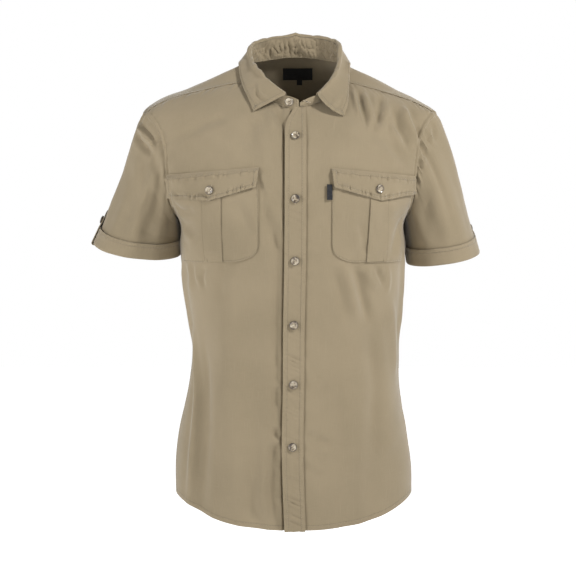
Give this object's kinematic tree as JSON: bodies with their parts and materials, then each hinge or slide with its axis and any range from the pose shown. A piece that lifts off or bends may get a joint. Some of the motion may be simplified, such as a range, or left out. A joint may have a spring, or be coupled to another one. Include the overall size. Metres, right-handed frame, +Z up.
{
  "type": "short-sleeved safari shirt",
  "caption": "Button-front shirt in plain cotton, filled out as worn: open collar, pleated flap pockets, turned-up short sleeves with tabs, curved hem.",
  "frame": {"origin": "middle of the neck, level with the top of the shoulders beside the collar", "axes": "+Z up along the body, -Y out of the front, +X towards the wearer's left side"},
  "size_m": [0.6393, 0.2782, 0.8088],
  "materials": {
    "cloth": "khaki plain-woven cotton poplin, matt, lightly creased",
    "buttons": "cream and brown marbled horn look, four holes",
    "label": "near-black woven label, bare",
    "tag": "dark grey woven tag, bare"
  },
  "bodies": {
    "root": {"front_right": "cloth", "front_left": "cloth", "placket": "cloth", "back": "cloth", "yoke": "cloth", "sleeve_right": "cloth", "sleeve_left": "cloth", "cuff_right": "cloth", "cuff_left": "cloth", "tab_right": "cloth", "tab_left": "cloth", "collar_stand": "cloth", "collar_fall": "cloth", "pocket_right": "cloth", "pocket_left": "cloth", "flap_right": "cloth", "flap_left": "cloth", "button_1": "buttons", "button_2": "buttons", "button_3": "buttons", "button_4": "buttons", "button_5": "buttons", "button_6": "buttons", "button_stand": "buttons", "button_flap_right": "buttons", "button_flap_left": "buttons", "button_tab_right": "buttons", "button_tab_left": "buttons", "neck_label": "label", "size_tab": "label", "pocket_tag": "tag"}
  },
  "joints": []
}
